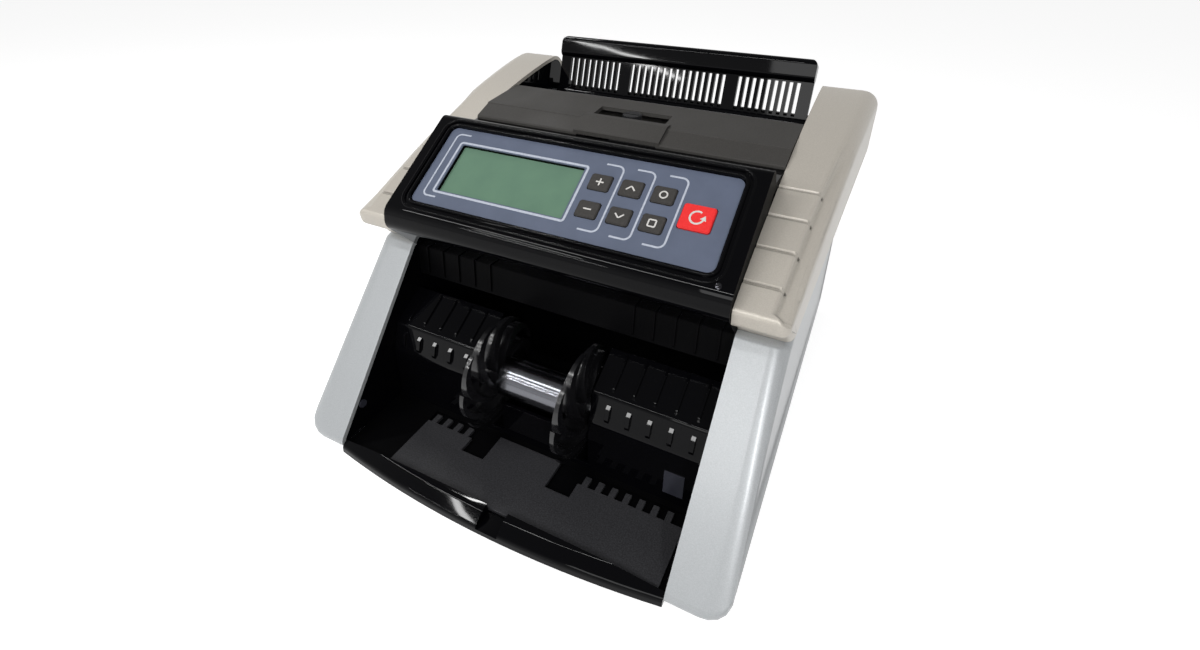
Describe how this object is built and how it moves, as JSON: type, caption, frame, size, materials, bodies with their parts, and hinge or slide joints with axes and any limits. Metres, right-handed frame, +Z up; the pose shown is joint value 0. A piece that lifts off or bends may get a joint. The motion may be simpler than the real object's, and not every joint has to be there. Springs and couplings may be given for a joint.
{
  "type": "banknote counting machine",
  "caption": "Bench-top banknote counter with a rear hopper and folding backrest, sloping keypad with display, and a front stacker pocket with finger wheels.",
  "frame": {"origin": "centre of the footprint, at the underside of the feet", "axes": "+X to the user's right, +Y from the stacker pocket at the front to the hopper at the back, +Z up"},
  "size_m": [0.2704, 0.276, 0.1902],
  "materials": {
    "silver_paint": "satin silver paint on moulded plastic",
    "gloss_black": "polished black moulding",
    "black_plastic": "fine textured black moulding",
    "dark_grey_plastic": "satin dark grey moulding",
    "overlay_film": "printed blue-grey film",
    "display": "green display window",
    "key_plastic": "dark rubberised keys",
    "red_key": "red key",
    "circuit_board": "green solder mask",
    "steel": "plated steel",
    "bright_sleeve": "bright turned sleeve",
    "bronze": "sintered bronze",
    "roller_rubber": "black rubber",
    "sensor_lens": "smoked sensor lens"
  },
  "bodies": {
    "machine": {"base_tray": "black_plastic", "rubber_feet": "roller_rubber", "front_lip": "gloss_black", "stacker_plate": "black_plastic", "stacker_backwall": "gloss_black", "note_sensors": "sensor_lens", "left_side_panel": "silver_paint", "right_side_panel": "silver_paint", "left_arm_cover": "silver_paint", "right_arm_cover": "silver_paint", "left_liner": "gloss_black", "right_liner": "gloss_black", "left_side_frame": "steel", "right_side_frame": "steel", "control_pod": "gloss_black", "panel_overlay": "overlay_film", "lcd_window": "display", "lcd_module": "display", "panel_board": "circuit_board", "hopper_cover": "dark_grey_plastic", "retard_bracket": "steel", "retard_roller": "roller_rubber", "hopper_floor": "gloss_black", "backrest_rod": "steel", "rear_panel": "black_plastic", "power_inlet": "black_plastic", "switch_housing": "black_plastic", "drive_motor": "steel", "left_belts": "roller_rubber", "right_belts": "roller_rubber", "shaft_bushes": "bronze", "lower_guide": "steel", "upper_guide": "gloss_black", "main_board": "circuit_board", "transformer": "steel"},
    "backrest_flap": {"backrest": "gloss_black"},
    "gap_knob": {"adjusting_knob": "black_plastic"},
    "rocker": {"power_rocker": "black_plastic"},
    "key_1_body": {"key_1": "key_plastic"},
    "key_2_body": {"key_2": "key_plastic"},
    "key_3_body": {"key_3": "key_plastic"},
    "key_4_body": {"key_4": "key_plastic"},
    "key_5_body": {"key_5": "key_plastic"},
    "key_6_body": {"key_6": "key_plastic"},
    "restart_key_body": {"restart_key": "red_key"},
    "feed_train": {"feed_shaft": "steel", "feed_rollers": "roller_rubber", "feed_pulleys": "black_plastic"},
    "kicker_train": {"kicker_shaft": "steel", "kicker_wheels": "roller_rubber", "kicker_pulley": "black_plastic"},
    "transport_train": {"transport_shaft": "steel", "transport_rollers": "roller_rubber", "transport_pulleys": "black_plastic"},
    "impeller_train": {"impeller_shaft": "steel", "impellers": "black_plastic", "impeller_sleeve": "bright_sleeve", "impeller_pulley": "black_plastic"},
    "motor_rotor": {"motor_pulley": "steel"},
    "pinch_train": {"pinch_rollers": "roller_rubber"}
  },
  "joints": [
    {"name": "backrest_fold", "type": "hinge", "parent": "machine", "child": "backrest_flap", "pos_m": [0, 0.121, 0.15], "axis": [1, 0, 0], "range_deg": [0, 105]},
    {"name": "gap_knob_turn", "type": "hinge", "parent": "machine", "child": "gap_knob", "pos_m": [0, 0.0515, 0.1596], "axis": [0, 0, 1], "range_deg": [-170, 170]},
    {"name": "rocker_tilt", "type": "hinge", "parent": "machine", "child": "rocker", "pos_m": [-0.022, 0.1303, 0.033], "axis": [0, 0, 1], "range_deg": [0, 18]},
    {"name": "key_1_press", "type": "slide", "parent": "machine", "child": "key_1_body", "axis": [0, 0.5284, -0.849], "range_m": [0, 0.0008], "stiffness_N_per_m": 600},
    {"name": "key_2_press", "type": "slide", "parent": "machine", "child": "key_2_body", "axis": [0, 0.5284, -0.849], "range_m": [0, 0.0008], "stiffness_N_per_m": 600},
    {"name": "key_3_press", "type": "slide", "parent": "machine", "child": "key_3_body", "axis": [0, 0.5284, -0.849], "range_m": [0, 0.0008], "stiffness_N_per_m": 600},
    {"name": "key_4_press", "type": "slide", "parent": "machine", "child": "key_4_body", "axis": [0, 0.5284, -0.849], "range_m": [0, 0.0008], "stiffness_N_per_m": 600},
    {"name": "key_5_press", "type": "slide", "parent": "machine", "child": "key_5_body", "axis": [0, 0.5284, -0.849], "range_m": [0, 0.0008], "stiffness_N_per_m": 600},
    {"name": "key_6_press", "type": "slide", "parent": "machine", "child": "key_6_body", "axis": [0, 0.5284, -0.849], "range_m": [0, 0.0008], "stiffness_N_per_m": 600},
    {"name": "restart_key_press", "type": "slide", "parent": "machine", "child": "restart_key_body", "axis": [0, 0.5284, -0.849], "range_m": [0, 0.0008], "stiffness_N_per_m": 600},
    {"name": "feed_spin", "type": "hinge", "parent": "machine", "child": "feed_train", "pos_m": [0, 0.046, 0.104], "axis": [1, 0, 0], "continuous": true},
    {"name": "kicker_spin", "type": "hinge", "parent": "machine", "child": "kicker_train", "pos_m": [0, 0.096, 0.119], "axis": [1, 0, 0], "continuous": true},
    {"name": "transport_spin", "type": "hinge", "parent": "machine", "child": "transport_train", "pos_m": [0, -0.014, 0.079], "axis": [1, 0, 0], "continuous": true},
    {"name": "impeller_spin", "type": "hinge", "parent": "machine", "child": "impeller_train", "pos_m": [0, -0.0705, 0.044], "axis": [1, 0, 0], "continuous": true},
    {"name": "motor_spin", "type": "hinge", "parent": "machine", "child": "motor_rotor", "pos_m": [0, 0.018, 0.055], "axis": [1, 0, 0], "continuous": true},
    {"name": "pinch_spin", "type": "hinge", "parent": "machine", "child": "pinch_train", "pos_m": [0, -0.02569, 0.0981], "axis": [1, 0, 0], "continuous": true}
  ],
  "couplings": [
    {"joint": "kicker_spin", "follows": "feed_spin", "ratio": 1},
    {"joint": "transport_spin", "follows": "feed_spin", "ratio": 1.4},
    {"joint": "impeller_spin", "follows": "feed_spin", "ratio": 1.05},
    {"joint": "motor_spin", "follows": "feed_spin", "ratio": 2.2857},
    {"joint": "pinch_spin", "follows": "feed_spin", "ratio": -2.45}
  ]
}
